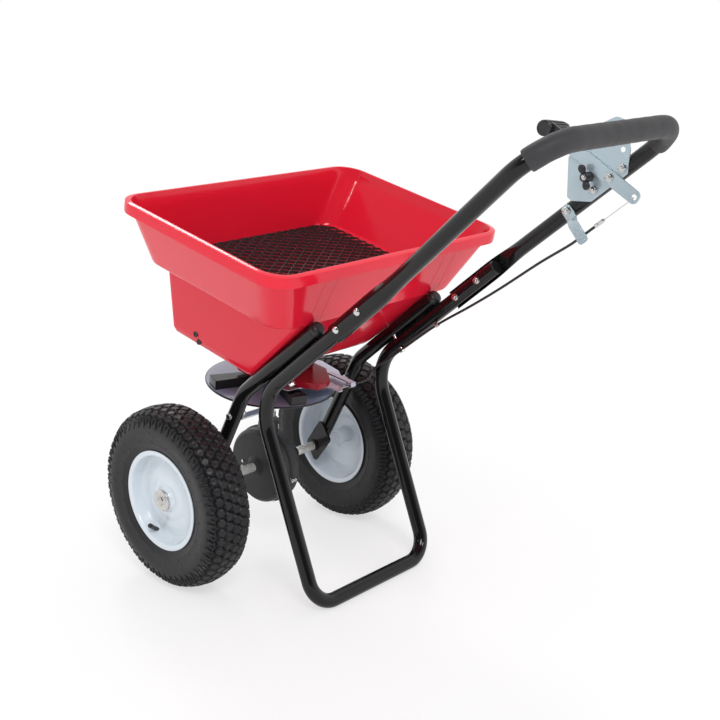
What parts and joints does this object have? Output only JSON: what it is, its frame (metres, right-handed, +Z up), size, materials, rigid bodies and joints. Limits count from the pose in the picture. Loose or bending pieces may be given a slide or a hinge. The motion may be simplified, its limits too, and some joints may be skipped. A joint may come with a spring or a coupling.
{
  "type": "broadcast spreader",
  "caption": "Walk-behind broadcast spreader: moulded hopper over a gear-driven spinner, on pneumatic wheels with a tubular stand and handle.",
  "frame": {"origin": "bottom centre of the bounding box, on the ground", "axes": "+X to the operator's right along the axle, +Y forward, +Z up"},
  "size_m": [0.556, 0.9135, 0.8365],
  "materials": {
    "black_paint": "gloss black powder coat",
    "black_plastic": "satin black",
    "bright_steel": "bright steel",
    "dark_red_plastic": "satin moulded dark red",
    "foam_rubber": "matte closed-cell foam",
    "grey_plastic": "satin violet grey",
    "mesh_paint": "satin black",
    "red_plastic": "glossy moulded red",
    "tyre_rubber": "matte black rubber",
    "white_paint": "gloss white enamel",
    "zinc_plate": "satin zinc plate"
  },
  "bodies": {
    "chassis": {"axle_bushing_left": "black_plastic", "axle_bushing_right": "black_plastic", "brace_bolt_left": "bright_steel", "brace_bolt_right": "bright_steel", "bracket_bolt": "bright_steel", "cable_anchor": "zinc_plate", "cable_bracket": "zinc_plate", "cable_casing": "black_plastic", "cable_clip": "zinc_plate", "cable_ferrule": "bright_steel", "case_screw": "bright_steel", "control_plate": "zinc_plate", "cross_brace": "zinc_plate", "foam_grip": "foam_rubber", "gate_guide_1": "bright_steel", "gate_guide_2": "bright_steel", "gear_case_left": "black_plastic", "gear_case_right": "black_plastic", "handle_bolt_lower_left": "bright_steel", "handle_bolt_lower_right": "bright_steel", "handle_bolt_upper_left": "bright_steel", "handle_bolt_upper_right": "bright_steel", "handle_tube": "black_paint", "hopper": "red_plastic", "hopper_screen": "mesh_paint", "leg_cap_left": "black_plastic", "leg_cap_right": "black_plastic", "leg_tube_left": "black_paint", "leg_tube_right": "black_paint", "outlet_housing": "dark_red_plastic", "pivot_bolt": "bright_steel", "plate_bolt_lower": "bright_steel", "plate_bolt_upper": "bright_steel", "stack_bolt_left": "bright_steel", "stack_bolt_right": "bright_steel", "stand_frame": "black_paint", "stand_plug_left": "black_plastic", "stand_plug_right": "black_plastic"},
    "drive_axle": {"axle": "bright_steel", "crown_gear": "bright_steel", "rim_left": "white_paint", "tyre_left": "tyre_rubber", "hub_cap_left": "zinc_plate", "valve_left": "black_plastic"},
    "free_wheel": {"rim_right": "white_paint", "tyre_right": "tyre_rubber", "hub_cap_right": "zinc_plate", "valve_right": "black_plastic"},
    "spinner": {"impeller_shaft": "bright_steel", "pinion": "bright_steel", "shaft_collar": "bright_steel", "impeller": "grey_plastic", "agitator": "bright_steel"},
    "lever": {"control_lever": "zinc_plate", "lever_grip": "black_plastic"},
    "upper_wire": {"control_wire_upper": "bright_steel"},
    "gate": {"shutoff_gate": "zinc_plate", "control_wire_lower": "bright_steel"},
    "rate_stop_slider": {"rate_stop": "black_plastic"},
    "wing_nut": {"wing_knob": "black_plastic"}
  },
  "joints": [
    {"name": "axle_spin", "type": "hinge", "parent": "chassis", "child": "drive_axle", "pos_m": [0, 0.29177, 0.165], "axis": [1, 0, 0], "continuous": true},
    {"name": "free_wheel_spin", "type": "hinge", "parent": "drive_axle", "child": "free_wheel", "pos_m": [0, 0.29177, 0.165], "axis": [1, 0, 0], "continuous": true},
    {"name": "spinner_spin", "type": "hinge", "parent": "chassis", "child": "spinner", "pos_m": [0, 0.29177, 0.165], "axis": [0, -0.145, 0.9894], "continuous": true},
    {"name": "lever_pivot", "type": "hinge", "parent": "chassis", "child": "lever", "pos_m": [0.16656, -0.33478, 0.73542], "axis": [0.9954, 0.075, -0.0602], "range_deg": [0, 36]},
    {"name": "upper_wire_slide", "type": "slide", "parent": "chassis", "child": "upper_wire", "axis": [-0.0962, 0.7763, -0.623], "range_m": [0, 0.03088]},
    {"name": "gate_slide", "type": "slide", "parent": "chassis", "child": "gate", "axis": [-1, 0, 0], "range_m": [0, 0.03088]},
    {"name": "rate_stop_turn", "type": "hinge", "parent": "chassis", "child": "rate_stop_slider", "pos_m": [0.16656, -0.33478, 0.73542], "axis": [0.9954, 0.075, -0.0602], "range_deg": [-9, 0]},
    {"name": "wing_nut_turn", "type": "hinge", "parent": "rate_stop_slider", "child": "wing_nut", "pos_m": [0.16387, -0.30021, 0.73396], "axis": [0.9954, 0.075, -0.0602], "continuous": true}
  ],
  "couplings": [
    {"joint": "spinner_spin", "follows": "axle_spin", "ratio": -4},
    {"joint": "upper_wire_slide", "follows": "lever_pivot", "m_per_rad": 0.049153},
    {"joint": "gate_slide", "follows": "lever_pivot", "m_per_rad": 0.049153}
  ]
}
